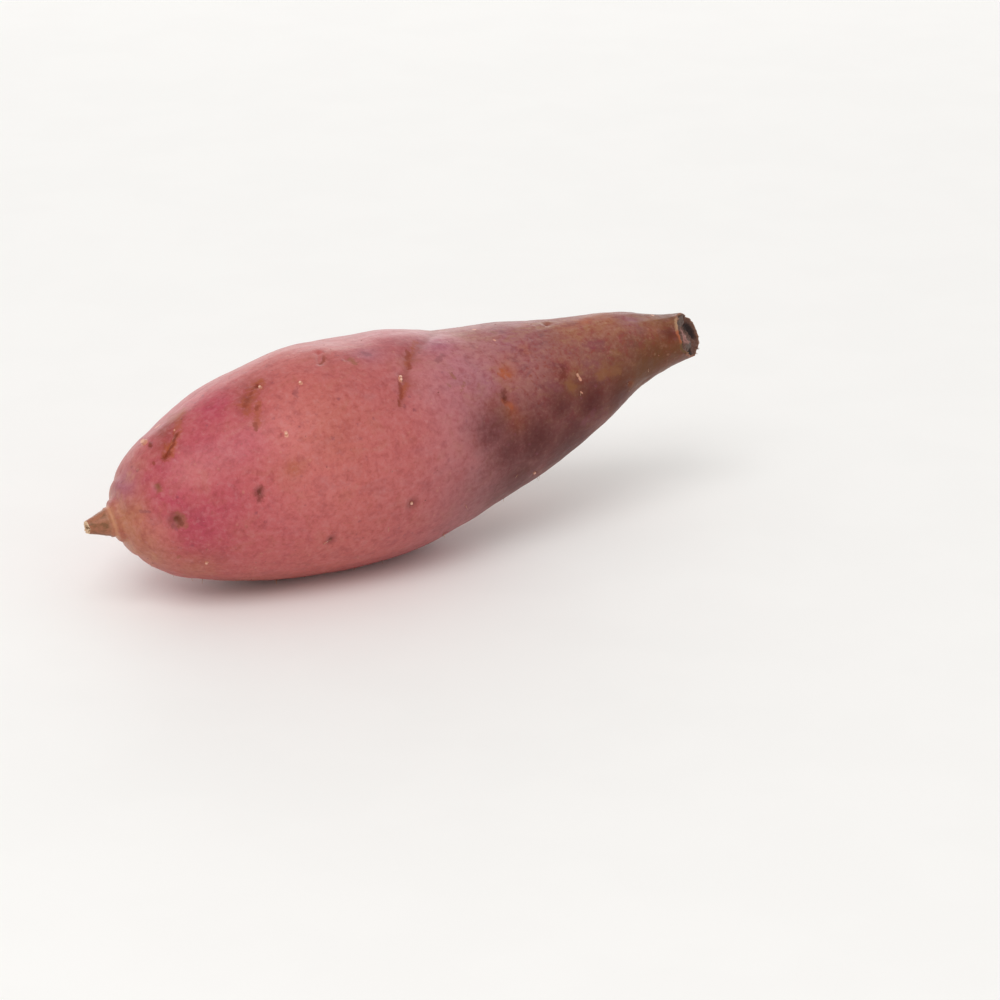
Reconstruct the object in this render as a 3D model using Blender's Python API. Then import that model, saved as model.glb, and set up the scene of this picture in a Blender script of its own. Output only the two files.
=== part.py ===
"""A whole sweet potato as it is dug: one swollen root with a thin broken tail and a snapped-off neck.

Run it with blender --background --python part.py, or from the text editor.

The root is described in its own terms, in millimetres and degrees. "Along" runs from the tail's tip
to the neck's end. "Around" starts at the top of the root and turns towards its front, the -Y side.
The finished mesh is in metres. It lies on a small flat spot of its belly, with the neck a little
raised, and its origin is under the middle of its box, at the height of what it lies on.
"""

import math
import random

import bmesh
import bpy
import numpy as np
from mathutils import Matrix, Vector, noise

MM = 0.001

# Driving sizes
LENGTH = 185.0
NECK_LIFT = 5.0  # degrees that the root is tilted, neck up, where it lies at rest
FLAT_SPOT_DEPTH = 1.0  # how much the belly is flattened where it lies
NECK_BEND = 12.9  # how far the neck's end curves towards the front
NECK_BEND_START = 100.0
SNAP_SLANT = 47.0  # degrees between the snapped face and a square cut
SNAP_REACH = 24.7  # length of neck over which the rings turn to meet the snapped face
SNAP_LONG_SIDE = 245.0  # around, the side on which the snapped neck is longest

# (along, radius) of the smooth form. The tail ends and the body begins at the corner by 9.
RADIUS = (
    (0, 1.8), (4, 3.1), (8, 5.0), (9.2, 6.4), (12, 10.0), (15, 13.7), (20, 17.9), (28, 21.9),
    (40, 26.3), (56, 29.6), (74, 31.6), (92, 30.7), (108, 27.8), (122, 24.5), (136, 21.3),
    (148, 17.9), (160, 13.8), (170, 10.2), (178, 7.8), (LENGTH, 6.6),
)  # fmt: skip
# (along, height) of the middle of each ring, before the root is tilted
RISE = (
    (0, -1.1), (12, -1.8), (30, -1.8), (60, -1.2), (90, -3.1), (120, -2.9), (145, 0.1),
    (168, 5.6), (LENGTH, 7.1),
)  # fmt: skip

# Stretches of (start, end, step) between rings: close together where the form turns quickly
RING_STRETCHES = (
    (0.0, 8.0, 1.6), (8.0, 16.0, 0.8), (16.0, 30.0, 2.0), (30.0, 120.0, 3.6), (120.0, 172.0, 2.9),
    (172.0, LENGTH, 1.9),
)  # fmt: skip
SIDES = 36

# Broad swells and hollows: (along, around, reach, height)
SWELLS = (
    (99, 345, 12, 0.5), (84, 350, 9, -0.9), (66, 347, 10, 0.3), (113, 352, 8, -0.3),
    (21, 352, 9, 0.2), (17, 140, 8, -0.4), (152, 118, 10, 0.25), (167, 128, 7, -0.3),
    (60, 140, 20, 0.5), (35, 250, 16, 0.9),
    (66, 285, 12, -0.9), (92, 262, 15, 1.0), (124, 275, 13, -0.8), (142, 240, 12, 0.8),
    (108, 205, 14, -0.5), (46, 195, 14, -0.5), (133, 40, 9, 0.4), (164, 60, 8, 0.35),
)  # fmt: skip
UNEVEN_HEIGHT = 0.45
UNEVEN_MORE = 1.0  # what the far side adds to it, because it grew less evenly
UNEVEN_SIZE = 24.0
TAIL_EVEN = (10, 24)  # along, where the unevenness of the body fades in

# The scarred crease that crosses the shoulder, as points (along, around)
SHOULDER_CREASE = ((116, 330), (112, 354), (102, 13), (96, 22), (90, 36), (86, 48))
SHOULDER_CREASE_DEPTH = 0.55
SHOULDER_CREASE_WIDTH = 2.6

# Folds of skin round the root of the tail: (along, width, height)
COLLAR_FOLDS = ((9.6, 0.8, -0.45), (11.6, 0.9, 0.3), (13.4, 0.8, -0.22))
COLLAR_TILT = 1.1  # how far the folds lean along the root, one side against the other
COLLAR_LOW_SIDE = 60.0  # around, the side towards which they lean

# Eyes seen on the front: (along, around, width, depth, rootlet stub's length or 0)
FRONT_EYES = (
    (18.4, 79, 4.6, 0.9, 0), (16.9, 43, 3.0, 0.45, 0), (12.8, 66, 3.0, 0.25, 0),
    (39.7, 73, 3.4, 0.6, 0), (78.2, 15, 2.6, 0.3, 0), (47.5, 17, 4.4, 0.45, 0),
    (51.5, 12, 2.4, 0.2, 1.1), (61.2, 21, 2.2, 0.15, 0.7), (50.8, 46, 2.2, 0.2, 0.9),
    (25.5, 123, 2.4, 0.2, 0.9), (21.5, 344, 2.6, 0.2, 1.3), (90.2, 32, 3.0, 0.35, 2.2),
    (118.5, 60, 4.2, 0.75, 0), (109.7, 69, 2.8, 0.3, 0), (135.2, 21, 2.4, 0.3, 0),
    (143.6, 4, 3.0, 0.45, 1.4), (140.8, 54, 4.0, 0.4, 0), (143.4, 66, 2.6, 0.3, 2.4),
    (143.0, 78, 2.4, 0.25, 1.6), (127.0, 126, 2.8, 0.3, 1.2), (58.0, 112, 3.6, 0.55, 0),
    (82.0, 100, 4.0, 0.6, 1.3), (97.0, 138, 3.2, 0.45, 0), (160.0, 100, 2.6, 0.35, 0),
)  # fmt: skip
# Long scars: (along and around of one end, then of the other, width, depth)
SCARS = ((26.6, 6, 21.6, 20, 1.6, 0.85), (73.0, 4, 70.6, 13, 1.5, 0.6))
# Eyes that the front doesn't show follow the rows in which rootlets grow
BACK_ROWS = (178, 222, 262, 304)
BACK_EYE_FIRST = 22.0
BACK_EYE_LAST = 168.0
BACK_EYE_GAP = (15.0, 27.0)
BACK_ROW_WANDER = 11.0
BACK_SEED = 41
BELLY_CLEAR = (55.0, 108.0, 150.0, 210.0)  # along and around, kept free of eyes for the flat spot
EYE_REACH = 0.42  # reach of an eye's hollow, as a share of its width
EYE_DEPTH = 0.17  # depth of the far side's eyes, likewise
BROW_HEIGHT = 0.35  # height of the fold on an eye's tail side, as a share of the eye's depth
BROW_SHIFT = 0.55  # how far the fold lies from the eye's middle, as a share of its width
SCAR_REACH = 0.6

STUB_SIDES = 5
STUB_FOOT = 0.57  # radius of a rootlet stub where it starts, under the skin
STUB_TIP = 0.34
STUB_SUNK = 1.6
STUB_LEAN = 0.35  # towards the tail, as the sine of its angle from upright

# The snapped face, from its rim to its middle: (share of the radius, height along the neck)
SNAP_STEPS = ((0.92, 0.2), (0.78, -0.7), (0.55, -0.2), (0.32, -1.6))
SNAP_MIDDLE = -2.2
SNAP_RAGGED = 1.1
RAGGED_SIZE = 1.7  # how closely the broken pieces of the snapped face follow each other
# The tail's broken tip, likewise
TIP_STEPS = ((0.6, 0.35),)
TIP_MIDDLE = 0.7
TIP_PLAIN = (0, 5)  # along, where the relief fades in behind the tip

SKIN_COLOUR = (0.43, 0.11, 0.125, 1.0)
SKIN_ROUGHNESS = 0.6

# Faces this near to an eye or a scar are divided, so that they can show its shape
REFINE_CUTS = 2
REFINE_REACH = 0.6  # as a share of the eye's width
REFINE_MARGIN = 1.0
SHARP_EDGE = 50.0  # degrees between faces, over which an edge stays sharp


def clear_scene():
    for obj in list(bpy.data.objects):
        bpy.data.objects.remove(obj)


def curve_through(stations, place):
    """Smooth cubic curve through (place, value) stations."""
    xs, ys = np.array(stations, float).T
    slopes = np.gradient(ys, xs)
    i = np.clip(np.searchsorted(xs, place) - 1, 0, len(xs) - 2)
    gap = xs[i + 1] - xs[i]
    t = np.clip((place - xs[i]) / gap, 0, 1)
    start = (1 + 2 * t) * (1 - t) ** 2 * ys[i] + t * (1 - t) ** 2 * gap * slopes[i]
    end = t * t * (3 - 2 * t) * ys[i + 1] - t * t * (1 - t) * gap * slopes[i + 1]
    return start + end


def smooth_step(low, high, value):
    t = np.clip((value - low) / (high - low), 0, 1)
    return t * t * (3 - 2 * t)


def smooth_form(along, around):
    """Points of the form without its relief. Both arguments are arrays; around is in degrees."""
    turn = np.radians(around)
    radius = curve_through(RADIUS, along)
    bend = np.clip((along - NECK_BEND_START) / (LENGTH - NECK_BEND_START), 0, 1)
    long_side = np.cos(turn - math.radians(SNAP_LONG_SIDE))
    slant = math.tan(math.radians(SNAP_SLANT)) * smooth_step(LENGTH - SNAP_REACH, LENGTH, along)
    return np.stack(
        [
            along + slant * radius * long_side,
            -NECK_BEND * bend**2 - radius * np.sin(turn),
            curve_through(RISE, along) + radius * np.cos(turn),
        ],
        axis=-1,
    )


def form_normals(along, around):
    step_along, step_around = 0.4, 1.5
    ahead = np.minimum(along + step_along, LENGTH)
    behind = np.maximum(along - step_along, 0)
    lengthwise = smooth_form(ahead, around) - smooth_form(behind, around)
    crosswise = smooth_form(along, around + step_around) - smooth_form(along, around - step_around)
    normal = np.cross(crosswise, lengthwise)
    return normal / np.linalg.norm(normal, axis=-1, keepdims=True)


def form_point(along, around):
    return smooth_form(np.array([float(along)]), np.array([float(around)]))[0]


def back_eyes():
    """Eyes on the far side, in rows, with every draw from one seed."""
    draw = random.Random(BACK_SEED)
    low, high, first_side, last_side = BELLY_CLEAR
    eyes = []
    for row in BACK_ROWS:
        along = BACK_EYE_FIRST + draw.uniform(0, BACK_EYE_GAP[0])
        while along < BACK_EYE_LAST:
            around = row + draw.uniform(-BACK_ROW_WANDER, BACK_ROW_WANDER)
            width = draw.uniform(2.4, 4.4)
            stub = draw.choice((0, 0, 0.9, 1.4))
            if not (low < along < high and first_side < around < last_side):
                eyes.append((along, around, width, EYE_DEPTH * width, stub))
            along += draw.uniform(*BACK_EYE_GAP)
    return eyes


def distance_to_line(points, corners):
    """Distance of each point from a line through corners, all in space."""
    nearest = np.full(len(points), np.inf)
    for start, end in zip(corners, corners[1:]):
        run = end - start
        t = np.clip((points - start) @ run / (run @ run), 0, 1)
        nearest = np.minimum(nearest, np.linalg.norm(points - start - t[:, None] * run, axis=1))
    return nearest


def relief(points, along, around, eyes):
    """Height of the skin over the smooth form at each of its points."""
    height = np.array([noise.noise(Vector(p) / UNEVEN_SIZE) for p in points.tolist()])
    far_side = smooth_step(0, 1, -np.sin(np.radians(around)))
    height *= (UNEVEN_HEIGHT + UNEVEN_MORE * far_side) * smooth_step(*TAIL_EVEN, along)
    for at, side, reach, swell in SWELLS:
        away = np.linalg.norm(points - form_point(at, side), axis=1)
        height += swell * np.exp(-((away / reach) ** 2))
    crease = distance_to_line(points, [form_point(*p) for p in SHOULDER_CREASE])
    height -= SHOULDER_CREASE_DEPTH * np.exp(-((crease / SHOULDER_CREASE_WIDTH) ** 2))
    leaning = along + COLLAR_TILT * np.cos(np.radians(around - COLLAR_LOW_SIDE))
    for at, width, fold in COLLAR_FOLDS:
        height += fold * np.exp(-(((leaning - at) / width) ** 2))
    for at, side, width, depth, _ in eyes:
        away = np.linalg.norm(points - form_point(at, side), axis=1)
        brow = np.linalg.norm(points - form_point(at - BROW_SHIFT * width, side), axis=1)
        height -= depth * np.exp(-((away / (EYE_REACH * width)) ** 2))
        height += BROW_HEIGHT * depth * np.exp(-((brow / (EYE_REACH * width)) ** 2))
    for at, side, to, to_side, width, depth in SCARS:
        away = distance_to_line(points, [form_point(at, side), form_point(to, to_side)])
        height -= depth * np.exp(-((away / (SCAR_REACH * width)) ** 2))
    return height * smooth_step(*TIP_PLAIN, along)


def ring_places():
    places = []
    for start, end, step in RING_STRETCHES:
        count = round((end - start) / step)
        places += [start + (end - start) * i / count for i in range(count)]
    return [*places, LENGTH]


def end_cap(bm, layer, rim, steps, middle, outward, ragged):
    """Closes the ring rim with smaller rings and a middle point, raised or sunk along outward."""
    centre = sum((v.co for v in rim), Vector()) / len(rim)
    spread = [v.co - centre for v in rim]
    last = rim
    for share, height in steps:
        ring = []
        for arm in spread:
            rough = ragged * noise.noise(RAGGED_SIZE * arm.normalized() + Vector((0, 0, 3 * share)))
            vert = bm.verts.new(centre + arm * share + outward * (height + rough))
            vert[layer] = (-1, 0, 0)
            ring.append(vert)
        bridge(bm, last, ring)
        last = ring
    tip = bm.verts.new(centre + outward * middle)
    tip[layer] = (-1, 0, 0)
    for side, vert in enumerate(last):
        bm.faces.new((vert, last[(side + 1) % len(last)], tip))


def bridge(bm, first, second):
    for side in range(len(first)):
        after = (side + 1) % len(first)
        bm.faces.new((first[side], first[after], second[after], second[side]))


def refine_round_eyes(bm, eyes):
    spots = [(form_point(at, side), REFINE_REACH * width) for at, side, width, _, _ in eyes]
    for at, side, to, to_side, width, _ in SCARS:
        for share in (0, 0.5, 1):
            middle = form_point(at + (to - at) * share, side + (to_side - side) * share)
            spots.append((middle, width))
    places = np.array([p for p, _ in spots])
    reaches = np.array([reach for _, reach in spots]) + REFINE_MARGIN
    edges = set()
    for face in bm.faces:
        away = np.linalg.norm(places - np.array(face.calc_center_median()), axis=1)
        if (away < reaches).any():
            edges.update(face.edges)
    bmesh.ops.subdivide_edges(bm, edges=list(edges), cuts=REFINE_CUTS, use_grid_fill=True)


def lay_skin(bm, layer, eyes):
    """Moves each point of the tube onto the form and adds the relief there."""
    verts = [v for v in bm.verts if v[layer][0] >= 0]
    place = np.array([v[layer][:] for v in verts])
    along = place[:, 0]
    around = np.degrees(np.arctan2(place[:, 1], place[:, 2]))
    points = smooth_form(along, around)
    height = relief(points, along, around, eyes)
    skin = points + form_normals(along, around) * height[:, None]
    for vert, co in zip(verts, skin.tolist()):
        vert.co = co


def root_body(eyes):
    """The root as one closed mesh, in millimetres and not yet tilted."""
    bm = bmesh.new()
    layer = bm.verts.layers.float_vector.new("place")
    turns = [360 * side / SIDES for side in range(SIDES)]
    rings = []
    for along in ring_places():
        ring = []
        for turn in turns:
            vert = bm.verts.new(form_point(along, turn))
            vert[layer] = (along, math.sin(math.radians(turn)), math.cos(math.radians(turn)))
            ring.append(vert)
        rings.append(ring)
    for first, second in zip(rings, rings[1:]):
        bridge(bm, first, second)
    refine_round_eyes(bm, eyes)
    lay_skin(bm, layer, eyes)
    neck_rim = ring_at(bm, layer, LENGTH)
    ragged_rim(neck_rim)
    neck_way = Vector(form_point(LENGTH, 0)) - Vector(form_point(LENGTH - 6, 0))
    end_cap(bm, layer, neck_rim, SNAP_STEPS, SNAP_MIDDLE, neck_way.normalized(), SNAP_RAGGED)
    tip_rim = ring_at(bm, layer, 0)
    end_cap(bm, layer, tip_rim, TIP_STEPS, TIP_MIDDLE, Vector((-1, 0, 0)), 0)
    bmesh.ops.triangulate(bm, faces=bm.faces[:])
    bmesh.ops.recalc_face_normals(bm, faces=bm.faces[:])
    return bm


def ring_at(bm, layer, along):
    """The ring at one place along the root, in order round it."""
    ring = [v for v in bm.verts if abs(v[layer][0] - along) < 1e-4]
    return sorted(ring, key=lambda v: math.atan2(v[layer][1], v[layer][2]))


def ragged_rim(rim):
    """Makes the torn edge of the neck uneven."""
    centre = sum((v.co for v in rim), Vector()) / len(rim)
    for vert in rim:
        way = (vert.co - centre).normalized()
        vert.co.x += SNAP_RAGGED * noise.noise(2 * RAGGED_SIZE * way)


def stub_object(at, side, length, collection):
    """A short broken rootlet that leans towards the tail, sunk well into the skin."""
    foot = Vector(form_point(at, side))
    out = Vector(form_normals(np.array([float(at)]), np.array([float(side)]))[0])
    lean = (out - Vector((STUB_LEAN, 0, 0))).normalized()
    bm = bmesh.new()
    depth = length + STUB_SUNK
    bmesh.ops.create_cone(
        bm,
        cap_ends=True,
        segments=STUB_SIDES,
        radius1=STUB_FOOT,
        radius2=STUB_TIP,
        depth=depth,
        matrix=Matrix.Translation(foot + lean * (0.5 * depth - STUB_SUNK))
        @ lean.to_track_quat("Z", "Y").to_matrix().to_4x4(),
    )
    mesh = bpy.data.meshes.new("rootlet_stub")
    bm.to_mesh(mesh)
    bm.free()
    stub = bpy.data.objects.new("rootlet_stub", mesh)
    collection.objects.link(stub)


def fuse_stubs(root, eyes):
    """Joins the rootlet stubs to the root with one Boolean union, then removes their objects."""
    stubs = bpy.data.collections.new("rootlet_stubs")
    bpy.context.scene.collection.children.link(stubs)
    for at, side, _, _, length in eyes:
        if length:
            stub_object(at, side, length, stubs)
    union = root.modifiers.new("rootlet_stubs", "BOOLEAN")
    union.operation = "UNION"
    union.operand_type = "COLLECTION"
    union.collection = stubs
    graph = bpy.context.evaluated_depsgraph_get()
    fused = bpy.data.meshes.new_from_object(root.evaluated_get(graph))
    root.modifiers.clear()
    root.data = fused
    for stub in list(stubs.objects):
        bpy.data.objects.remove(stub)
    bpy.data.collections.remove(stubs)


def lay_down(mesh):
    """Tilts the root, flattens its belly at the height of the ground and turns it into metres."""
    bm = bmesh.new()
    bm.from_mesh(mesh)
    bm.transform(Matrix.Rotation(-math.radians(NECK_LIFT), 4, "Y"))
    lowest = min(v.co.z for v in bm.verts)
    ground = Vector((0, 0, lowest + FLAT_SPOT_DEPTH))
    parts = bm.verts[:] + bm.edges[:] + bm.faces[:]
    bmesh.ops.bisect_plane(
        bm, geom=parts, dist=1e-4, plane_co=ground, plane_no=(0, 0, 1), clear_inner=True
    )
    rim = [edge for edge in bm.edges if edge.is_boundary]
    bmesh.ops.contextual_create(bm, geom=rim)
    bmesh.ops.triangulate(bm, faces=bm.faces[:])
    bmesh.ops.recalc_face_normals(bm, faces=bm.faces[:])
    middle = [
        (min(v.co[i] for v in bm.verts) + max(v.co[i] for v in bm.verts)) / 2 for i in range(2)
    ]
    bmesh.ops.translate(bm, verts=bm.verts[:], vec=Vector((-middle[0], -middle[1], -ground.z)))
    bm.transform(Matrix.Scale(MM, 4))
    bm.to_mesh(mesh)
    bm.free()


def skin_material():
    material = bpy.data.materials.new("sweet_potato_skin")
    material.use_nodes = True
    shader = material.node_tree.nodes["Principled BSDF"]
    shader.inputs["Base Color"].default_value = SKIN_COLOUR
    shader.inputs["Roughness"].default_value = SKIN_ROUGHNESS
    shader.inputs["Metallic"].default_value = 0.0
    return material


def main():
    clear_scene()
    eyes = [*FRONT_EYES, *back_eyes()]
    mesh = bpy.data.meshes.new("sweet_potato")
    bm = root_body(eyes)
    bm.to_mesh(mesh)
    bm.free()
    root = bpy.data.objects.new("sweet_potato", mesh)
    bpy.context.scene.collection.objects.link(root)
    fuse_stubs(root, eyes)
    lay_down(root.data)
    root.data.materials.clear()
    root.data.materials.append(skin_material())
    root.data.shade_smooth()
    root.data.set_sharp_from_angle(angle=math.radians(SHARP_EDGE))


main()
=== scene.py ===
import math
import random

import bmesh
import bpy
import numpy as np
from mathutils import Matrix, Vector, noise


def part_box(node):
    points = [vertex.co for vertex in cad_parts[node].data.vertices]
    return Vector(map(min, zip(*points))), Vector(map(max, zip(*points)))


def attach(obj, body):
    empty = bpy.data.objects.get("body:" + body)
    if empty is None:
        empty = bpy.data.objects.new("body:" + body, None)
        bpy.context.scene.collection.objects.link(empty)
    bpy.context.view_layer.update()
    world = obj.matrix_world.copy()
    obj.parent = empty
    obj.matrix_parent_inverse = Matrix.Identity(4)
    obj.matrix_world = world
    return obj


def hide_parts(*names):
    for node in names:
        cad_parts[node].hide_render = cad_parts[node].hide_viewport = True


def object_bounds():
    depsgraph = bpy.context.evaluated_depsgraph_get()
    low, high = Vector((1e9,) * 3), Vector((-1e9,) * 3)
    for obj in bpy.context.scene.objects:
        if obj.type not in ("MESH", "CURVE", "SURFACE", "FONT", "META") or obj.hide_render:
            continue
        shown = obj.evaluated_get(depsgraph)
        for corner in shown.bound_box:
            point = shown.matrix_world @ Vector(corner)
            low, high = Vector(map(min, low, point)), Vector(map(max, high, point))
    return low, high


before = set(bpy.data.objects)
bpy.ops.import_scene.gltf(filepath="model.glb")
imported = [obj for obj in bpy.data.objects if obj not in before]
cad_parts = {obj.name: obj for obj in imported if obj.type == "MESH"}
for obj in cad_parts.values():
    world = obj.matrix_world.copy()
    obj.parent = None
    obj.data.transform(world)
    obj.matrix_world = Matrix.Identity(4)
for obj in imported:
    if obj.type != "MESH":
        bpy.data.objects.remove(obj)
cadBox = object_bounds()
mm = 0.001

# The root's own terms, as in the CAD: millimetres and degrees. Along runs from the tail's tip to the
# neck's end, and around starts at the top and turns towards the front, the -Y side.
root = dict(
    length=185.0,
    neckLift=5.0,  # how far the neck is tilted up at rest
    neckBend=12.9, neckBendStart=100.0,
    snapSlant=47.0, snapReach=24.7, snapLongSide=245.0,
    radius=[(0, 1.8), (4, 3.1), (8, 5.0), (9.2, 6.4), (12, 10.0), (15, 13.7), (20, 17.9), (28, 21.9),
            (40, 26.3), (56, 29.6), (74, 31.6), (92, 30.7), (108, 27.8), (122, 24.5), (136, 21.3),
            (148, 17.9), (160, 13.8), (170, 10.2), (178, 7.8), (185, 6.6)],
    rise=[(0, -1.1), (12, -1.8), (30, -1.8), (60, -1.2), (90, -3.1), (120, -2.9), (145, 0.1),
          (168, 5.6), (185, 7.1)],
    tipProud=0.7,
    side=0.11, ground=25.88,  # where the CAD's origin lies from the middle line
)


def smoothStep(low, high, value):
    t = np.clip((value - low) / (high - low), 0, 1)
    return t * t * (3 - 2 * t)


def curveThrough(stations, place):  # smooth cubic through (place, value) stations
    xs, ys = np.array(stations, float).T
    slopes = np.gradient(ys, xs)
    i = np.clip(np.searchsorted(xs, place) - 1, 0, len(xs) - 2)
    gap = xs[i + 1] - xs[i]
    t = np.clip((place - xs[i]) / gap, 0, 1)
    start = (1 + 2 * t) * (1 - t) ** 2 * ys[i] + t * (1 - t) ** 2 * gap * slopes[i]
    end = t * t * (3 - 2 * t) * ys[i + 1] - t * t * (1 - t) * gap * slopes[i + 1]
    return start + end


def smoothForm(along, around):  # points of the plain form, before it is tilted
    turn = np.radians(around)
    radius = curveThrough(root["radius"], along)
    bendRun = root["length"] - root["neckBendStart"]
    bend = np.clip((along - root["neckBendStart"]) / bendRun, 0, 1)
    ramp = smoothStep(root["length"] - root["snapReach"], root["length"], along)
    slant = math.tan(math.radians(root["snapSlant"])) * ramp
    return np.stack([
        along + slant * radius * np.cos(turn - math.radians(root["snapLongSide"])),
        -root["neckBend"] * bend ** 2 - radius * np.sin(turn),
        curveThrough(root["rise"], along) + radius * np.cos(turn),
    ], axis=-1)


def formNormals(along, around):
    ahead = np.minimum(along + 0.4, root["length"])
    behind = np.maximum(along - 0.4, 0)
    lengthwise = smoothForm(ahead, around) - smoothForm(behind, around)
    crosswise = smoothForm(along, around + 1.5) - smoothForm(along, around - 1.5)
    normal = np.cross(crosswise, lengthwise)
    return normal / np.linalg.norm(normal, axis=-1, keepdims=True)


def spot(along, around):
    return smoothForm(np.array([float(along)]), np.array([float(around)]))[0]


def layDown(points):  # tilts points, or directions with no shift, as the root lies
    lift = math.radians(root["neckLift"])
    x, y, z = points[..., 0], points[..., 1], points[..., 2]
    return np.stack([
        x * math.cos(lift) - z * math.sin(lift), y, x * math.sin(lift) + z * math.cos(lift)
    ], axis=-1)


tipX = layDown(np.array([-root["tipProud"], 0.0, root["rise"][0][1]]))[0]
shift = np.array([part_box("sweet_potato")[0][0] / mm - tipX, -root["side"], root["ground"]])
boxLow, boxHigh = (np.array(corner, float) / mm for corner in cadBox)
print("form: the CAD's box is", (boxHigh - boxLow).round(1).tolist(), "mm")


def distanceTo(points, corners):  # to a line through corners
    nearest = np.full(len(points), np.inf)
    for start, end in zip(corners, corners[1:]):
        run = end - start
        t = np.clip((points - start) @ run / max(run @ run, 1e-9), 0, 1)
        nearest = np.minimum(nearest, np.linalg.norm(points - start - t[:, None] * run, axis=1))
    return nearest


def hill(away, reach):  # 1 in the middle, falling softly to 0
    return np.exp(-(away / reach) ** 2)


def noiseAt(points, size, stretch=(1, 1, 1), away=0.0):
    scaled = points / (size * np.array(stretch, float)) + away
    return np.array([noise.noise(Vector(p)) for p in scaled.tolist()])


# What shows on the front. A swell is (along, around, reach, height), a fold of the collar (along, width,
# height), an eye (along, around, width, depth). A scar runs to a second place, with a width and a depth.
marks = dict(
    swells=[(99, 345, 12, 0.5), (84, 350, 9, -0.9), (66, 347, 10, 0.3), (113, 352, 8, -0.3),
            (21, 352, 9, 0.2), (17, 140, 8, -0.4), (152, 118, 10, 0.25), (167, 128, 7, -0.3),
            (60, 140, 20, 0.5), (35, 250, 16, 0.9), (66, 285, 12, -0.9), (92, 262, 15, 1),
            (124, 275, 13, -0.8), (142, 240, 12, 0.8), (108, 205, 14, -0.5), (46, 195, 14, -0.5),
            (133, 40, 9, 0.4), (164, 60, 8, 0.35), (166, 352, 9, 0.4)],
    crease=[(116, 330), (112, 354), (102, 13), (96, 22), (90, 36), (86, 48)],
    collar=[(9.6, 0.8, -0.45), (11.6, 0.9, 0.3), (13.4, 0.8, -0.22), (6.3, 0.4, 0.26),
            (7.3, 0.35, -0.2), (8.3, 0.4, 0.14)],
    collarLean=(1.1, 60),  # how far the folds lean, and towards which side
    eyes=[(18.4, 79, 4.6, 0.9), (16.9, 43, 3, 0.45), (12.8, 66, 3, 0.25), (39.7, 73, 3.4, 0.6),
          (78.2, 15, 2.6, 0.3), (47.5, 17, 4.4, 0.45), (51.5, 12, 2.4, 0.2), (61.2, 21, 2.2, 0.15),
          (50.8, 46, 2.2, 0.2), (25.5, 123, 2.4, 0.2), (21.5, 344, 2.6, 0.2), (90.2, 32, 3, 0.35),
          (118.5, 60, 4.2, 0.75), (109.7, 69, 2.8, 0.3), (135.2, 21, 2.4, 0.3), (143.6, 4, 3, 0.45),
          (140.8, 54, 4, 0.4), (143.4, 66, 2.6, 0.3), (143, 78, 2.4, 0.25),
          (127, 126, 2.8, 0.3), (58, 112, 3.6, 0.55), (82, 100, 4, 0.6),
          (97, 138, 3.2, 0.45), (160, 100, 2.6, 0.35)],
    scars=[(26.6, 6, 21.6, 20, 1.6, 0.85), (73, 4, 70.6, 13, 1.5, 0.6)],
    backRows=[178, 222, 262, 304], backSeed=41,
)


def backEyes():  # the far side's eyes, drawn as the CAD draws them
    draw = random.Random(marks["backSeed"])
    eyes = []
    for row in marks["backRows"]:
        along = 22.0 + draw.uniform(0, 15.0)
        while along < 168.0:
            around = row + draw.uniform(-11.0, 11.0)
            width = draw.uniform(2.4, 4.4)
            stub = draw.choice((0, 0, 0.9, 1.4))
            if not (55.0 < along < 108.0 and 150.0 < around < 210.0):
                eyes.append((along, around, width, 0.17 * width, stub))
            along += draw.uniform(15.0, 27.0)
    return eyes


farEyes = backEyes()
allEyes = marks["eyes"] + [eye[:4] for eye in farEyes]

# Fine relief of the skin: heights in millimetres, and the size of what makes them
skinRelief = dict(
    uneven=(0.45, 24.0), unevenFar=1.0,
    lumps=(0.16, 8.0), pebble=(0.05, 2.4), grain=(0.022, 0.9),
    vein=(0.13, 3.4), veinStretch=(9, 1, 1),
    neckVein=0.16, neckWrinkle=(0.10, 2.1), neck=(128, 172),
    crease=(0.55, 2.6), creaseFloor=(0.16, 1.1), creaseOnTop=0.25, creaseTurn=(-30, 2),
    scarWidth=0.6, coreSmooth=0.7,
)
# An eye: reaches as shares of its width, heights as shares of its depth
eyeShape = dict(bowl=0.42, pit=0.2, pitDepth=0.35, browBehind=0.55, browHeight=0.35, core=0.23, ring=0.62)


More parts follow.
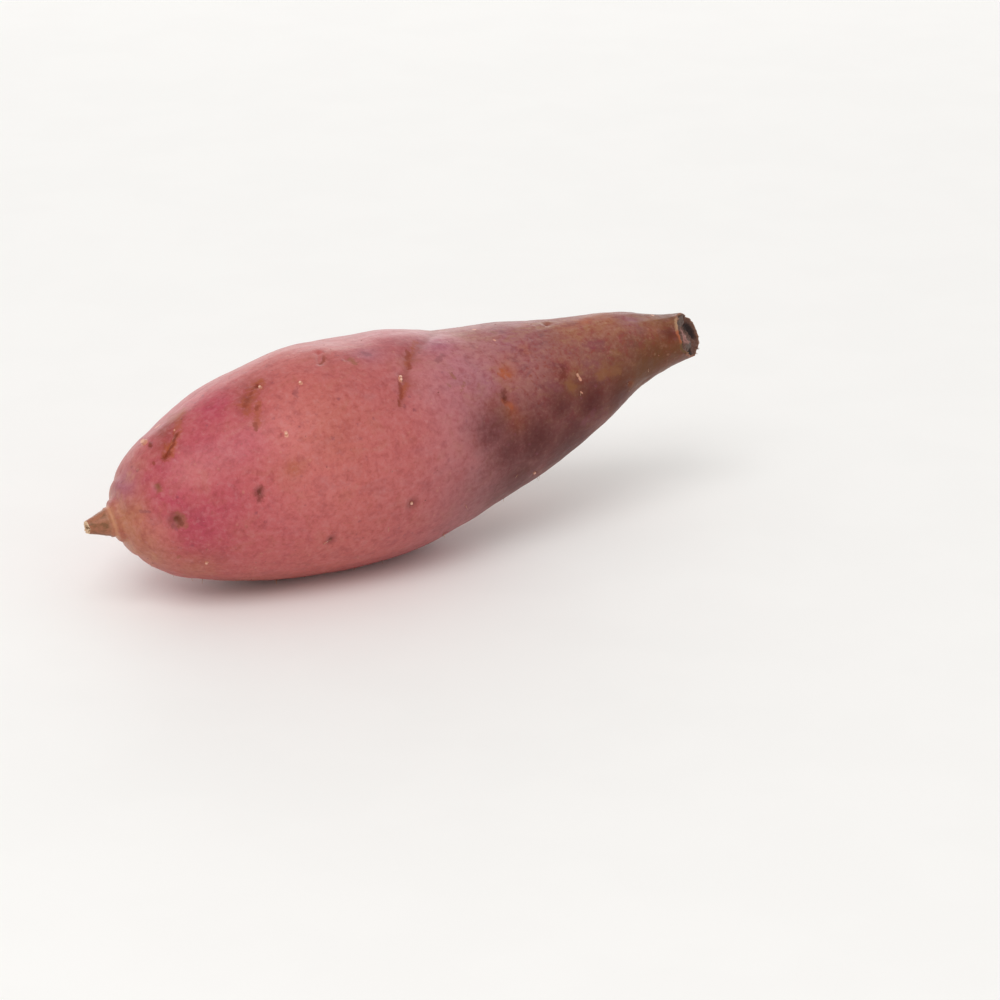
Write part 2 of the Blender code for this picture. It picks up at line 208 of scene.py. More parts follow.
def relief(points, along, around):  # height of the skin over the form, and its masks
    tailFade = smoothStep(10, 24, along)
    height, size = skinRelief["uneven"]
    far = smoothStep(0, 1, -np.sin(np.radians(around)))
    up = (height + skinRelief["unevenFar"] * far) * noiseAt(points, size) * tailFade
    for at, side, reach, swell in marks["swells"]:
        away = np.linalg.norm(points - spot(at, side), axis=1)
        up += swell * hill(away, reach)
    creaseAway = distanceTo(points, [spot(*p) for p in marks["crease"]])
    onTop = skinRelief["creaseOnTop"]  # less of the crease shows over the top
    shown = onTop + (1 - onTop) * smoothStep(*skinRelief["creaseTurn"], (around + 180) % 360 - 180)
    height, size = skinRelief["crease"]
    up -= height * shown * hill(creaseAway, size)
    height, size = skinRelief["creaseFloor"]
    crease = shown * hill(creaseAway, size)
    up -= height * crease
    reach, side = marks["collarLean"]
    lean = along + reach * np.cos(np.radians(around - side))
    for at, width, fold in marks["collar"]:
        up += fold * hill(lean - at, width)
    core = np.zeros(len(points))
    ring = np.zeros(len(points))
    eye = eyeShape
    for at, side, width, depth in allEyes:
        away = np.linalg.norm(points - spot(at, side), axis=1)
        brow = np.linalg.norm(points - spot(at - eye["browBehind"] * width, side), axis=1)
        up -= depth * (hill(away, eye["bowl"] * width) + eye["pitDepth"] * hill(away, eye["pit"] * width))
        up += depth * eye["browHeight"] * hill(brow, eye["bowl"] * width)
        strong = min(1.0, 1.5 * depth)
        core = np.maximum(core, strong * hill(away, eye["core"] * width))
        ring = np.maximum(ring, strong * hill(away, eye["ring"] * width))
    for at, side, to, toSide, width, depth in marks["scars"]:
        away = distanceTo(points, [spot(at, side), spot(to, toSide)])
        up -= depth * hill(away, skinRelief["scarWidth"] * width)
    plain = 1 - skinRelief["coreSmooth"] * core
    height, size = skinRelief["lumps"]
    up += height * noiseAt(points, size, away=4.0) * tailFade * plain
    height, size = skinRelief["vein"]
    ridge = 1 - 2 * np.abs(noiseAt(points, size, skinRelief["veinStretch"], 9.0))
    neck = smoothStep(*skinRelief["neck"], along)
    up += (height + skinRelief["neckVein"] * neck) * 0.5 * ridge * smoothStep(6, 20, along)
    height, size = skinRelief["neckWrinkle"]
    up += height * noiseAt(points, size, (1, 3.5, 3.5), 2.0) * neck
    height, size = skinRelief["pebble"]
    up += height * noiseAt(points, size, away=7.0)
    height, size = skinRelief["grain"]
    up += height * noiseAt(points, size, away=1.0)
    up *= smoothStep(0, 5, along)
    return up, dict(core=core, ring=ring, crease=crease, lean=lean)


# Soft patches of colour over the base, each (along, around, reach, strength)
patches = dict(
    magenta=[(18, 60, 9, 0.9), (22, 92, 9, 0.9), (20, 30, 6, 0.7), (39, 9, 7, 0.9), (31, 30, 8, 0.5),
             (42, 43, 7, 0.6), (16, 26, 4, 0.6), (33, 352, 5, 0.5), (28, 75, 8, 0.6), (96, 8, 6, 0.5),
             (40, 200, 14, 0.7), (70, 262, 14, 0.5), (112, 232, 12, 0.4), (30, 290, 12, 0.7),
             (88, 175, 14, 0.4), (107, 13, 5, 0.8)],
    tan=[(150, 14, 6, 0.7), (159, 11, 7, 0.8), (168, 26, 6, 0.5), (178, 28, 6, 0.7), (11, 60, 4.5, 0.9),
         (11, 110, 7, 1), (13, 140, 9, 0.9), (10, 200, 8, 0.9), (10, 280, 7, 0.8), (24, 134, 8, 0.8),
         (60, 52, 12, 0.35), (50, 66, 5, 0.5), (40, 160, 16, 0.5), (88, 240, 16, 0.5), (60, 312, 12, 0.4),
         (128, 205, 14, 0.5)],
    pink=[(53, 48, 10, 0.8), (56, 75, 12, 0.5), (14, 90, 5, 0.4), (26, 48, 6, 0.5), (76, 70, 14, 0.3),
          (52, 235, 12, 0.4), (20, 225, 9, 0.5), (104, 280, 10, 0.4)],
    mauve=[(108, 36, 8, 0.45), (107, 14, 6, 0.7), (114, 46, 8, 0.5), (103, 52, 7, 0.25), (12, 0, 5, 0.8),
           (84.8, 13.5, 4, 0.6), (128, 20, 9, 0.5), (137, 357, 4, 0.6), (170, 17, 4, 0.8),
           (91, 292, 12, 0.5), (50, 262, 9, 0.4), (150, 250, 10, 0.4)],
    orange=[(122, 44, 3.2, 0.8), (125, 36, 3.2, 0.4), (119, 69, 3.2, 0.9), (120, 78, 3.6, 0.8),
            (113, 62, 3, 0.4), (154.5, 10.5, 2.2, 1), (131, 31, 2.4, 0.6), (138, 2, 1.8, 0.8),
            (31, 352, 2.6, 0.6), (24, 17, 2, 0.8), (50, 66, 2, 0.6), (66, 236, 5, 0.5),
            (140, 290, 4, 0.6), (112, 305, 5, 0.5)],
    umber=[(26, 358, 3.6, 1), (30, 354, 3.4, 0.9), (23, 10, 3.2, 0.7), (47.5, 16, 3.6, 0.9),
           (45, 22, 2.6, 0.8), (50, 9, 5, 0.7), (46, 31, 3.4, 0.4), (96, 21, 3.4, 0.8), (91, 38, 3, 0.5),
           (121, 0, 4, 0.6), (139.5, 55, 3.6, 1), (118, 57, 2.8, 0.7), (98, 12, 6, 0.5),
           (183.5, 62, 3, 0.9), (75, 225, 4, 0.6), (36, 272, 4, 0.5), (162, 300, 5, 0.5)],
    olive=[(158, 82, 7, 0.5), (168, 100, 7, 1), (176, 100, 7, 1), (166, 74, 5, 0.5), (176, 22, 6, 0.3),
           (141, 69, 3.4, 0.6), (181, 24, 4, 0.5), (183, 96, 4, 0.9), (182, 345, 8, 0.5),
           (180, 215, 12, 0.8), (176, 300, 10, 0.6)],
    # maroon: painted shade, a dark maroon under the neck that stands in for the shade there
    maroonShade=[(112, 78, 10, 0.85), (117, 94, 13, 0.9), (108, 112, 16, 0.55), (126, 97, 13, 1),
            (135, 80, 8, 0.9), (146, 92, 9, 1), (156, 106, 9, 1), (138, 118, 16, 1), (120, 118, 17, 0.9),
            (167, 112, 7, 0.7), (183, 54, 2.2, 0.8), (120, 150, 16, 0.5)],
)


def patchMask(points, name):
    mask = np.zeros(len(points))
    for at, side, reach, strength in patches[name]:
        away = np.linalg.norm(points - spot(at, side), axis=1)
        mask = np.maximum(mask, strength * hill(away, reach))
    return mask


# Small marks on the front, each (along, around, to along, to around, width)
strokes = dict(
    dusk=[(12, 61, 13.6, 65, 1), (131.5, 38, 131.5, 38, 1.8), (17.6, 84, 18.2, 88, 1.2),
          (84.4, 12, 85.4, 15, 2.2), (143, 103, 146, 100, 2.8), (129, 30, 130, 31, 1),
          (21.6, 359, 20.8, 3, 1.7), (60, 25, 58.6, 29, 1.6), (106, 24, 103, 28, 2),
          (150, 40, 154, 44, 2.6), (147, 55, 150, 60, 2.4), (133, 60, 136, 66, 3)],
    olive=[(17, 42, 17, 47, 1.8), (19.2, 78, 19.4, 83, 3.4), (79.2, 15.5, 79.4, 19, 2.2),
           (104.8, 37, 105.2, 41, 1.1), (105.2, 49, 108, 44, 0.9), (22.5, 150, 23, 152, 1.3),
           (18.8, 118, 18.8, 121, 1.1), (139.5, 66, 140.5, 71, 2.8), (126.5, 5, 127, 9, 1.4),
           (160.5, 103, 161, 106, 2.4), (175, 346, 177, 349, 1.2), (102, 43, 102.6, 46, 0.8),
           (174, 0, 175, 4, 1), (178, 10, 179, 14, 1.1), (150, 72, 156, 76, 3.4)],
    scab=[(27.6, 10, 22.4, 21, 3.2), (34, 350, 28.5, 6, 2.4), (53, 10, 46, 20, 4.2),
          (47, 19, 44.6, 27, 2.6), (102, 8, 94, 26, 1.9), (90, 38, 87, 44, 2), (121, 43, 122, 46, 2.4),
          (117.6, 61, 119, 66, 2.2), (48.6, 24, 45.4, 36, 2.4)],
    rust=[(52.8, 9.6, 51, 12.4, 1.7), (50, 13, 48, 16.4, 1.3), (47.6, 16.6, 45.2, 21.8, 1.5),
          (47.9, 25, 47.6, 27, 1.4), (45, 35, 44.6, 38, 1.4), (73, 9.5, 70.8, 13.8, 1.5),
          (97, 17, 95.4, 22, 2), (94.9, 25, 94.1, 29, 1.4), (88.5, 37, 86.6, 45, 1.5),
          (85.8, 46, 85, 49, 1.2), (138.6, 4, 138.9, 8, 1.2), (27.4, 10, 25, 15.4, 1.4),
          (19, 20, 18.9, 21.4, 1)],
    amber=[(24.8, 16.6, 22.2, 22, 3.8), (54, 8.6, 52.6, 9.6, 1.6), (120.6, 44.6, 121, 46, 2.4)],
    dark=[(22.8, 20.4, 21.8, 22.6, 2.4), (25.2, 16.8, 24, 18.4, 1.3), (23.9, 18.6, 23, 20, 0.9),
          (51.9, 10.6, 51.6, 12.4, 1.3), (21.4, 358, 21, 2, 1.2), (27.2, 10.8, 25.6, 14.6, 1)],
    pit=[(39.9, 71.6, 39.3, 77.4, 2), (118.8, 55.5, 118.3, 61, 2.2), (139.4, 53, 138.4, 59, 3),
         (18.9, 79, 19.1, 82.5, 2.2), (144.6, 100, 145, 102, 1.6), (160.4, 103, 160.6, 105, 1.7)],
    cream=[(21, 351.2, 21, 351.8, 2), (26.4, 341, 27.4, 341.4, 1), (52, 13.8, 52, 13.9, 1.1),
           (51.3, 46.6, 51.1, 48.4, 1), (61.8, 22.5, 61.8, 22.9, 1.1), (25.5, 123, 25.6, 123, 0.9),
           (89.9, 32.4, 89.2, 35.4, 1.1), (124.8, 16.2, 124.8, 17, 0.8),
           (123.2, 356.6, 123.4, 357.4, 0.9), (177.4, 350, 177.8, 353, 0.8), (143.2, 62, 143.8, 67, 0.75),
           (142.8, 76, 143.4, 78, 0.35), (27.8, 4.6, 27.8, 5.4, 0.45)],
)
farOff = 9.0  # the reach where there is no stroke


def strokeReach(points, name):  # 0 along the middle of the nearest stroke and 1 at its edge
    return np.min([distanceTo(points, [spot(at, side), spot(to, toSide)]) / (0.5 * width)
                   for at, side, to, toSide, width in strokes[name]], axis=0)


# The skin, one closed mesh that ends in the snapped face and the tail's broken tip
skinGrid = dict(
    stretches=[(0, 8, 0.36), (8, 16, 0.27), (16, 30, 0.5), (30, 120, 0.7),
               (120, 172, 0.62), (172, 185, 0.34)],
    sides=208,
    nearEye=0.75, nearScar=1.6, nearStroke=1.7,  # faces within these shares of a mark's width are divided
    snapRings=26, tipRings=9,
)
# A form of the snapped face is (u, v, reach in u, reach in v, height), u running to its front and v up.
# Its roughness is (height, size as a share of the face).
snapFace = dict(
    dish=0.5, lip=0.25, rimRagged=[(2.8, 0.6), (1, 0.25)],
    rimSwell=(62, 24, 0.8),  # where the edge stands proud: around, reach, height
    rimBack=0.4,  # keeps the ragged edge inside the CAD's box
    hollows=[(-0.6, -0.16, 0.25, 0.5, 1.3), (0.42, -0.72, 0.26, 0.18, 1.1), (-0.22, 0.20, 0.14, 0.22, 0.6)],
    blocks=[(-0.06, 0.68, 0.42, 0.24, 0.7), (0.30, -0.34, 0.32, 0.28, 0.6)],
    streak=(0.36, 0.12, 0.21, 0.42, 0.4), rough=(0.5, 0.14), clod=(0.5, 0.33),
)
tipFace = dict(tufts=0.4, hollow=(0.9, 0.45), rough=(0.4, 0.3))


def addObject(name, data):
    piece = bpy.data.objects.new(name, data)
    bpy.context.scene.collection.objects.link(piece)
    return piece


def triangles(mesh):
    return sum(len(face.vertices) - 2 for face in mesh.polygons)


def ringPlaces():
    places = []
    for start, end, step in skinGrid["stretches"]:
        count = round((end - start) / step)
        places += [start + (end - start) * i / count for i in range(count)]
    return np.array(places + [root["length"]])


def dividedGrid():  # the tube's grid with smaller faces round its eyes, as (along, sin, cos) rows
    places, sides = ringPlaces(), skinGrid["sides"]
    turns = 2 * math.pi * np.arange(sides) / sides
    alongs, arounds = np.meshgrid(places, np.degrees(turns), indexing="ij")
    mesh = bpy.data.meshes.new("grid")
    near = smoothForm(alongs.ravel(), arounds.ravel())
    first = np.arange((len(places) - 1) * sides)
    after = first // sides * sides + (first + 1) % sides
    quads = np.stack([first, after, after + sides, first + sides], axis=1)
    mesh.from_pydata(near.tolist(), [], quads.tolist())
    bm = bmesh.new()
    bm.from_mesh(mesh)
    bpy.data.meshes.remove(mesh)
    layer = bm.verts.layers.float_vector.new("place")
    bm.verts.ensure_lookup_table()
    for vert, at, turn in zip(bm.verts, alongs.ravel().tolist(), np.radians(arounds.ravel()).tolist()):
        vert[layer] = (at, math.sin(turn), math.cos(turn))
    centres = near[quads].mean(axis=1)
    wanted = np.zeros(len(quads), bool)
    for at, side, width, _ in allEyes:
        wanted |= np.linalg.norm(centres - spot(at, side), axis=1) < skinGrid["nearEye"] * width
    for at, side, to, toSide, width, _ in marks["scars"]:
        wanted |= distanceTo(centres, [spot(at, side), spot(to, toSide)]) < skinGrid["nearScar"] * width
    for name in ("rust", "dark", "pit", "cream"):
        wanted |= strokeReach(centres, name) < skinGrid["nearStroke"]
    bm.faces.ensure_lookup_table()
    edges = {edge for i in np.flatnonzero(wanted) for edge in bm.faces[i].edges}
    bmesh.ops.subdivide_edges(bm, edges=list(edges), cuts=1, use_grid_fill=True)
    bmesh.ops.triangulate(bm, faces=[face for face in bm.faces if len(face.verts) > 4])
    bm.verts.index_update()
    rows = np.array([vert[layer][:] for vert in bm.verts])
    faces = [[vert.index for vert in face.verts] for face in bm.faces]
    bm.free()
    return rows, faces


def endRing(rows, along):  # the vertices of one end, in order round it
    ring = np.flatnonzero(np.abs(rows[:, 0] - along) < 1e-4)
    return ring[np.argsort(np.arctan2(rows[ring, 1], rows[ring, 2]))]


def unit(vector):
    return vector / np.linalg.norm(vector)


def bulge(flat, form):
    u, v, reachU, reachV, _ = form
    return hill(flat[:, 0] - u, reachU) * hill(flat[:, 1] - v, reachV)


def torn(flat, look, away):  # roughness of a broken face
    height, size = look
    return height * noiseAt(np.column_stack([flat, np.zeros(len(flat))]), size, away=away)


def snapShape(flat, share):  # relief of the snapped face over its own plane, and its masks
    hollows = [bulge(flat, form) for form in snapFace["hollows"]]
    blocks = [bulge(flat, form) for form in snapFace["blocks"]]
    streak = bulge(flat, snapFace["streak"])
    up = snapFace["streak"][4] * streak - snapFace["dish"] * smoothStep(0.97, 0.74, share)
    up += sum(form[4] * high for form, high in zip(snapFace["blocks"], blocks))
    up -= sum(form[4] * deep for form, deep in zip(snapFace["hollows"], hollows))
    up += torn(flat, snapFace["rough"], 3.0) + torn(flat, snapFace["clod"], 6.0)
    up = up * smoothStep(1.0, 0.9, share) + snapFace["lip"] * hill(share - 0.95, 0.03)
    return up, dict(deep=np.max(hollows, axis=0), streak=streak, block=np.max(blocks, axis=0))


def tipShape(flat, share):  # the tail's tip: two tufts with a hollow between them
    depth, reach = tipFace["hollow"]
    hollow = hill(flat[:, 1], reach) * smoothStep(1.0, 0.75, share)
    up = tipFace["tufts"] * smoothStep(1.0, 0.8, share) - depth * hollow
    rough = torn(flat, tipFace["rough"], 8.0) * smoothStep(1.0, 0.9, share)
    return up + rough, dict(deep=hollow * (0.8 + 2 * rough))


def buildSkin():
    rows, faces = dividedGrid()
    along = rows[:, 0]
    around = np.degrees(np.arctan2(rows[:, 1], rows[:, 2]))
    plain = smoothForm(along, around)
    up, masks = relief(plain, along, around)
    points = plain + formNormals(along, around) * up[:, None]
    for name in patches:
        masks[name] = patchMask(plain, name)
    for name in strokes:
        masks[name + "Mark"] = np.minimum(strokeReach(plain, name), farOff)
    rim = endRing(rows, root["length"])
    neckWay = unit(spot(root["length"], 0) - spot(root["length"] - 6, 0))
    nearRim = smoothStep(root["length"] - 2.0, root["length"], along)
    ragged = sum(height * noiseAt(plain, size, away=5.0) for size, height in snapFace["rimRagged"])
    middle, reach, swell = snapFace["rimSwell"]
    ragged += swell * hill(around - middle, reach) - snapFace["rimBack"]
    points += neckWay * (ragged * nearRim)[:, None]
    masks["along"] = along
    masks["rimEdge"] = smoothStep(root["length"] - 1.3, root["length"], along)
    masks["share"] = np.ones(len(points))
    masks["faceU"], masks["faceV"] = rows[:, 1], rows[:, 2]
    for name in ("deep", "streak", "block"):
        masks[name] = np.zeros(len(points))
    slots = np.zeros(len(faces), int)

    def closeEnd(ring, rings, shape, outward):  # rings of ever smaller share, then a middle point
        nonlocal points, faces, slots
        centre = points[ring].mean(axis=0)
        arms = points[ring] - centre
        angles = np.arctan2(rows[ring, 1], rows[ring, 2])
        last = ring
        count = len(ring)
        added = []
        for share in np.linspace(1, 0, rings + 1)[1:]:
            many = count if share > 0 else 1
            flat = share * np.stack([np.sin(angles), np.cos(angles)], axis=1)[:many]
            up, shown = shape(flat, np.full(many, share))
            new = len(points) + np.arange(many)
            points = np.vstack([points, centre + share * arms[:many] + outward * up[:, None]])
            shown.update(share=share, along=along[ring[0]], faceU=flat[:, 0], faceV=flat[:, 1])
            for name in masks:
                fill = shown.get(name, farOff if name.endswith("Mark") else 0.0)
                masks[name] = np.append(masks[name], np.broadcast_to(fill, many))
            if many > 1:
                inner = list(zip(np.roll(new, -1), new))
            else:
                inner = [(new[0],)] * count
            added += [[one, two, *rest] for one, two, rest in zip(last, np.roll(last, -1), inner)]
            last = new
        faces += added
        slots = np.append(slots, np.ones(len(added), int))

    closeEnd(rim, skinGrid["snapRings"], snapShape, neckWay)
    closeEnd(endRing(rows, 0), skinGrid["tipRings"], tipShape, np.array([-1.0, 0, 0]))
    laid = layDown(points) + shift
    laid[:, 2] = np.maximum(laid[:, 2], 0)  # the flat spot of the belly
    mesh = bpy.data.meshes.new("rootSkin")
    mesh.from_pydata((laid * mm).tolist(), [], [list(map(int, face)) for face in faces])
    mesh.polygons.foreach_set("material_index", slots)
    for name, values in masks.items():
        mesh.attributes.new(name, "FLOAT", "POINT").data.foreach_set("value", values.astype(np.float32))
    bm = bmesh.new()
    bm.from_mesh(mesh)
    bmesh.ops.recalc_face_normals(bm, faces=bm.faces[:])
    bm.to_mesh(mesh)
    bm.free()
    mesh.shade_smooth()
    return addObject("rootSkin", mesh), neckWay


rootSkin, neckWay = buildSkin()
print("skin:", triangles(rootSkin.data), "triangles")


def onSkin(along, around):  # a place on the finished skin and the way out of it
    at, side = np.array([float(along)]), np.array([float(around)])
    plain, normal = smoothForm(at, side), formNormals(at, side)
    up, _ = relief(plain, at, side)
    return (layDown(plain + normal * up[:, None]) + shift)[0], unit(layDown(normal)[0])


def tint(code):  # a written sRGB colour as the linear one that shaders use
    parts = [int(code[i:i + 2], 16) / 255 for i in (0, 2, 4)]
    linear = [c / 12.92 if c <= 0.04045 else ((c + 0.055) / 1.055) ** 2.4 for c in parts]
    return (*linear, 1.0)


class Wire:  # a node's output that Python's operators work on
    def __init__(self, nodes, socket):
        self.nodes, self.socket = nodes, socket

    def other(self, output):  # another output of the same node
        return Wire(self.nodes, self.socket.node.outputs[output])

    def __add__(self, value):
        return self.nodes.maths("ADD", self, value)

    def __sub__(self, value):
        return self.nodes.maths("SUBTRACT", self, value)

    def __rsub__(self, value):
        return self.nodes.maths("SUBTRACT", value, self)

    def __mul__(self, value):
        return self.nodes.maths("MULTIPLY", self, value)

    def __truediv__(self, value):
        return self.nodes.maths("DIVIDE", self, value)

    __radd__ = __add__

    def step(self, low, high):  # 0 below low, 1 above high, smooth between, either way round
        ends = (low, high, 0.0, 1.0) if low < high else (high, low, 1.0, 0.0)
        keys = ("Value", "From Min", "From Max", "To Min", "To Max")
        return self.nodes.make("ShaderNodeMapRange", dict(zip(keys, (self, *ends))),
                               interpolation_type="SMOOTHSTEP")


class Nodes:  # a tree of nodes, for a material or for geometry
    def make(self, kind, sockets=(), output=0, **settings):
        node = self.tree.nodes.new(kind)
        for name, value in settings.items():
            setattr(node, name, value)
        for key, value in dict(sockets).items():
            socket = node.inputs[key]
            if isinstance(value, Wire):
                self.tree.links.new(value.socket, socket)
            else:
                written = socket.type == "RGBA" and isinstance(value, str)
                socket.default_value = tint(value) if written else value
        return Wire(self, node.outputs[output]) if len(node.outputs) else node

    def maths(self, operation, first, second):
        return self.make("ShaderNodeMath", {0: first, 1: second}, operation=operation)


class Paint(Nodes):
    def __init__(self, name):
        self.material = bpy.data.materials.new(name)
        self.material.use_nodes = True
        self.tree = self.material.node_tree
        self.tree.nodes.clear()
        place = self.make("ShaderNodeTexCoord", output="Object")
        self.place = self.make("ShaderNodeVectorMath", {0: place, "Scale": 1 / mm}, operation="SCALE")

    def mask(self, name):
        return self.make("ShaderNodeAttribute", output="Fac", attribute_name=name)

    def where(self, scale, away):
        sockets = {0: self.place, 1: scale, 2: (away,) * 3}
        return self.make("ShaderNodeVectorMath", sockets, operation="MULTIPLY_ADD")

    def noise(self, size, detail, rough=0.55, away=0.0, twist=0.0, stretch=(1, 1, 1)):
        sockets = {"Scale": 1.0, "Detail": detail, "Roughness": rough, "Distortion": twist}
        where = self.where(tuple(1 / (size * s) for s in stretch), away)
        return self.make("ShaderNodeTexNoise", dict(sockets, Vector=where))

    def cells(self, size, away):  # distance to the nearest cell's middle, and a random number for it
        where = self.where((1 / size,) * 3, away)
        distance = self.make("ShaderNodeTexVoronoi", {"Vector": where, "Scale": 1.0})
        return distance, self.make("ShaderNodeSeparateXYZ", {0: distance.other("Color")})

    def mix(self, first, second, factor):
        sockets = {0: factor, 6: first, 7: second}
        return self.make("ShaderNodeMix", sockets, 2, data_type="RGBA", clamp_factor=True)

    def lay(self, colour, tones, covers):  # tones over one another, each with how much of it covers
        for name, cover in covers:
            colour = self.mix(colour, tones[name], cover)
        return colour

    def ramp(self, value, length, stops):  # colours set at places along a length
        ramp = self.make("ShaderNodeValToRGB", {0: value / length})
        points = ramp.socket.node.color_ramp.elements
        while len(points) < len(stops):
            points.new(1.0)
        for point, (at, colour) in zip(points, stops):
            point.position, point.color = at / length, tint(colour)
        return ramp

    def bump(self, height, distance, strength, under=None):
        sockets = {"Height": height, "Distance": distance * mm, "Strength": strength}
        return self.make("ShaderNodeBump", dict(sockets, Normal=under) if under else sockets)

    def finish(self, colour, roughness, specular, normal=None):
        sockets = {"Base Color": colour, "Roughness": roughness, "Specular IOR Level": specular}
        if normal:
            sockets["Normal"] = normal
        self.make("ShaderNodeOutputMaterial", {"Surface": self.make("ShaderNodeBsdfPrincipled", sockets)})
        return self.material


skinLook = dict(
    ground=[(0, "a9795a"), (9, "c2805f"), (13, "bc6a60"), (24, "b8555a"), (42, "c05e60"),
            (62, "c0635e"), (84, "b85f5e"), (97, "bc6e70"), (108, "bf797b"), (122, "a96a66"),
            (140, "955c54"), (158, "855244"), (172, "704430"), (185, "5e3a26")],
    groundDrift=22, groundMottle=9,  # how far the ground's colours stray along the root
    magenta="b23a54", tan="b06c50", pink="d27672", mauve="a0647a", orange="a85632", umber="8c3c2c",
    # maroon is the tone of the painted shade under the neck
    olive="66380c", maroonShade="4e0e0a", oliveTan="a0704a", plum="6a3440", bloom="ca8c8c", neckBloom="ac7868",
    # the crease tone is painted shade along the floor of the crease
    deep="8e363c", ring="84403e", core="5c2a18", crease="8c4236", cream="e8b494", dusk="824450",
    # the darker fold tone is painted shade in the crease beside the tail's pale lip
    tail="a66a50", tailDark="80563a", foldPale="ce926e", foldCreaseShade="9c4c3c", rimOrange="9c5436",
    scabMark="a4502e", duskMark="7c404a", oliveMark="8c5a36", rustMark="8c3a28",
    amberMark="ac5430", pitMark="6a2a1c", darkMark="7e2a0e", creamMark="dea086",
    roughness=0.37, specular=0.27,
    # A noise is (size, detail, roughness, place, twist, stretch).
    noises=dict(drift=(10, 4, 0.6, 3, 0.5), mottle=(3.2, 5, 0.62, 6, 0.3), fine=(1.2, 4, 0.65, 9),
                hue=(2.2, 4, 0.65, 17, 0.4), streak=(1.4, 4, 0.6, 2, 0.3, (7, 1, 1)),
                blotch=(5.5, 5, 0.62, 21, 0.6, (1.5, 1, 1))),
    neck=(95, 140),  # where the skin grows more blotched towards the neck's end
    patchCover=dict(magenta=0.85, tan=0.85, pink=0.7, mauve=0.8, umber=0.75, orange=0.85),
    # maroon is painted shade under the neck; olive is the neck's own skin tone
    darkCover=dict(maroonShade=0.95, olive=0.85),
    # (colour, noise, value where it starts, value where it is full, strength, more on the neck)
    mottling=[("oliveTan", "blotch", 0.5, 0.68, 0.14, 0.42), ("plum", "blotch", 0.49, 0.32, 0.14, 0.4),
              ("bloom", "hue", 0.46, 0.76, 0.24, 0.2), ("deep", "hue", 0.54, 0.27, 0.36, 0.26),
              ("bloom", "fine", 0.5, 0.75, 0.26, 0.3), ("umber", "fine", 0.48, 0.28, 0.28, 0.45),
              ("umber", "streak", 0.52, 0.78, 0.12, 0.14)],
    # Dots are (spacing, place, raggedness, reach, which of the draws).
    specks=(2.6, 0, 0.9, (0.26, 0.04), (0.66, 0.95)), paleDots=(2.3, 11, 0.7, (0.24, 0.04), (0.78, 0.95)),
    tailEnd=(6.8, 5.6),
    # the pale band is the tan lip of a fold; the dark band after it is painted shade in a crease
    folds=[("foldPale", 6.7, 7.2, 7.9, 7.4, 0.5), ("foldCreaseShade", 7.9, 8.3, 9.2, 8.6, 0.4)],
    # (name, strength, how ragged its edge is)
    strokeCover=[("scab", 0.6, 1.0), ("dusk", 0.4, 0.9), ("olive", 0.5, 0.9), ("rust", 0.75, 0.9),
                 ("amber", 0.6, 0.9), ("pit", 0.62, 1.1), ("dark", 0.85, 0.8), ("cream", 0.75, 0.6)],
)
# The snapped edge: (turn, colour, share of the face where it starts), pale at its upper front
rimTones = [(92, "6a4c2a", 0.84), (60, "b0603e", 0.9), (28, "b08868", 0.91)]


def rimTone(paint, base):
    u, v = paint.mask("faceU"), paint.mask("faceV")
    tone = base
    for turn, colour, start in rimTones:
        toward = u * math.sin(math.radians(turn)) + v * math.cos(math.radians(turn))
        tone = paint.mix(tone, colour, toward.step(start, 0.97))
    return tone


